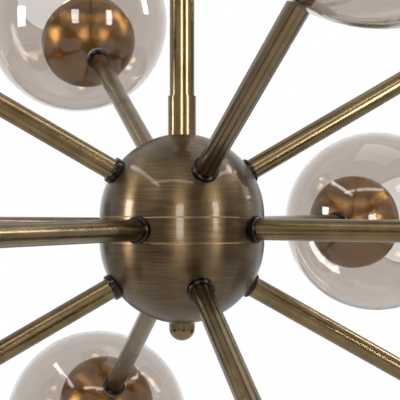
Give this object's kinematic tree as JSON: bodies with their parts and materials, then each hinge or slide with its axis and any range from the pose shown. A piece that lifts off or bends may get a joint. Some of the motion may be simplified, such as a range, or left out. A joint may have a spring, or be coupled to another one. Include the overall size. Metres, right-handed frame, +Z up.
{
  "type": "sputnik chandelier",
  "caption": "Ball-hub chandelier on a rigid stem: straight arms radiate in three rings, each ending in a brass cup and lamp inside an open blown-glass globe.",
  "frame": {"origin": "ceiling plane, on the stem's axis, at the middle of the crossbar's two screw slots", "axes": "+Z up out of the ceiling side of the crossbar; X along the crossbar, and along two of the lower ring's arms; Y along the other two; the lamp hangs towards -Z"},
  "size_m": [0.7012, 0.7012, 0.6723],
  "materials": {
    "brushed_brass": "antique brass, brushed round the hub and lacquered",
    "tube_brass": "antique brass tube, drawn smooth and lacquered",
    "dark_brass": "dark polished brass",
    "cup_brass": "antique brass, smooth and lacquered",
    "smoke_glass": "thin blown glass with a light smoke tint",
    "bulb_glass": "clear candle bulb",
    "holder_plastic": "black moulded lamp holder",
    "soft_washer": "clear silicone washer",
    "zinc_steel": "zinc plated steel"
  },
  "bodies": {
    "ceiling_mount": {"mounting_bracket": "zinc_steel", "bracket_nipple": "zinc_steel", "bracket_nut": "zinc_steel"},
    "canopy": {"canopy": "brushed_brass"},
    "canopy_ring": {"canopy_ring": "dark_brass"},
    "swivel": {"swivel_fork": "tube_brass", "swivel_pin": "dark_brass"},
    "fixture": {"stem_plug": "tube_brass", "stem": "tube_brass", "stem_coupling": "tube_brass", "centre_tube": "zinc_steel", "hub_upper_dome": "brushed_brass", "hub_lower_dome": "brushed_brass", "hub_band": "brushed_brass", "hub_collars": "dark_brass", "tip_collars": "dark_brass", "arm_nipples": "zinc_steel", "lock_nuts": "zinc_steel", "globe_gaskets": "soft_washer", "lamp_sockets": "holder_plastic", "cups_upper": "cup_brass", "cups_middle": "cup_brass", "cups_lower": "cup_brass", "arm_upper_1": "tube_brass", "arm_upper_2": "tube_brass", "arm_upper_3": "tube_brass", "arm_upper_4": "tube_brass", "arm_middle_1": "tube_brass", "arm_middle_2": "tube_brass", "arm_middle_3": "tube_brass", "arm_middle_4": "tube_brass", "arm_lower_1": "tube_brass", "arm_lower_2": "tube_brass", "arm_lower_3": "tube_brass", "arm_lower_4": "tube_brass", "globe_upper_1": "smoke_glass", "globe_upper_2": "smoke_glass", "globe_upper_3": "smoke_glass", "globe_upper_4": "smoke_glass", "globe_middle_1": "smoke_glass", "globe_middle_2": "smoke_glass", "globe_middle_3": "smoke_glass", "globe_middle_4": "smoke_glass", "globe_lower_1": "smoke_glass", "globe_lower_2": "smoke_glass", "globe_lower_3": "smoke_glass", "globe_lower_4": "smoke_glass"},
    "finial": {"finial": "dark_brass"},
    "bulb_upper_1": {"bulb_upper_1": "bulb_glass"},
    "bulb_upper_2": {"bulb_upper_2": "bulb_glass"},
    "bulb_upper_3": {"bulb_upper_3": "bulb_glass"},
    "bulb_upper_4": {"bulb_upper_4": "bulb_glass"},
    "bulb_middle_1": {"bulb_middle_1": "bulb_glass"},
    "bulb_middle_2": {"bulb_middle_2": "bulb_glass"},
    "bulb_middle_3": {"bulb_middle_3": "bulb_glass"},
    "bulb_middle_4": {"bulb_middle_4": "bulb_glass"},
    "bulb_lower_1": {"bulb_lower_1": "bulb_glass"},
    "bulb_lower_2": {"bulb_lower_2": "bulb_glass"},
    "bulb_lower_3": {"bulb_lower_3": "bulb_glass"},
    "bulb_lower_4": {"bulb_lower_4": "bulb_glass"}
  },
  "joints": [
    {"name": "canopy_slide", "type": "slide", "parent": "ceiling_mount", "child": "canopy", "axis": [0, 0, 1], "range_m": [-0.345, 0]},
    {"name": "canopy_ring_turn", "type": "hinge", "parent": "canopy", "child": "canopy_ring", "pos_m": [0, 0, -0.03], "axis": [0, 0, 1], "continuous": true},
    {"name": "swivel_turn", "type": "hinge", "parent": "ceiling_mount", "child": "swivel", "pos_m": [0, 0, -0.03], "axis": [0, 0, 1], "range_deg": [-175, 175]},
    {"name": "stem_tilt", "type": "hinge", "parent": "swivel", "child": "fixture", "pos_m": [0, 0, -0.05], "axis": [0, -1, 0], "range_deg": [0, 25]},
    {"name": "finial_turn", "type": "hinge", "parent": "fixture", "child": "finial", "pos_m": [0, 0, -0.4961], "axis": [0, 0, -1], "continuous": true},
    {"name": "bulb_upper_1_turn", "type": "hinge", "parent": "fixture", "child": "bulb_upper_1", "pos_m": [0.01384, -0.22629, -0.29893], "axis": [0.0534, -0.873, 0.4848], "continuous": true},
    {"name": "bulb_upper_2_turn", "type": "hinge", "parent": "fixture", "child": "bulb_upper_2", "pos_m": [0.22629, 0.01384, -0.29893], "axis": [0.873, 0.0534, 0.4848], "continuous": true},
    {"name": "bulb_upper_3_turn", "type": "hinge", "parent": "fixture", "child": "bulb_upper_3", "pos_m": [-0.01384, 0.22629, -0.29893], "axis": [-0.0534, 0.873, 0.4848], "continuous": true},
    {"name": "bulb_upper_4_turn", "type": "hinge", "parent": "fixture", "child": "bulb_upper_4", "pos_m": [-0.22629, -0.01384, -0.29893], "axis": [-0.873, -0.0534, 0.4848], "continuous": true},
    {"name": "bulb_middle_1_turn", "type": "hinge", "parent": "fixture", "child": "bulb_middle_1", "pos_m": [0.18455, -0.18455, -0.4356], "axis": [0.7071, -0.7071, 0], "continuous": true},
    {"name": "bulb_middle_2_turn", "type": "hinge", "parent": "fixture", "child": "bulb_middle_2", "pos_m": [0.18455, 0.18455, -0.4356], "axis": [0.7071, 0.7071, 0], "continuous": true},
    {"name": "bulb_middle_3_turn", "type": "hinge", "parent": "fixture", "child": "bulb_middle_3", "pos_m": [-0.18455, 0.18455, -0.4356], "axis": [-0.7071, 0.7071, 0], "continuous": true},
    {"name": "bulb_middle_4_turn", "type": "hinge", "parent": "fixture", "child": "bulb_middle_4", "pos_m": [-0.18455, -0.18455, -0.4356], "axis": [-0.7071, -0.7071, 0], "continuous": true},
    {"name": "bulb_lower_1_turn", "type": "hinge", "parent": "fixture", "child": "bulb_lower_1", "pos_m": [0, -0.22671, -0.57227], "axis": [0, -0.8746, -0.4848], "continuous": true},
    {"name": "bulb_lower_2_turn", "type": "hinge", "parent": "fixture", "child": "bulb_lower_2", "pos_m": [0.22671, 0, -0.57227], "axis": [0.8746, 0, -0.4848], "continuous": true},
    {"name": "bulb_lower_3_turn", "type": "hinge", "parent": "fixture", "child": "bulb_lower_3", "pos_m": [0, 0.22671, -0.57227], "axis": [0, 0.8746, -0.4848], "continuous": true},
    {"name": "bulb_lower_4_turn", "type": "hinge", "parent": "fixture", "child": "bulb_lower_4", "pos_m": [-0.22671, 0, -0.57227], "axis": [-0.8746, 0, -0.4848], "continuous": true}
  ]
}
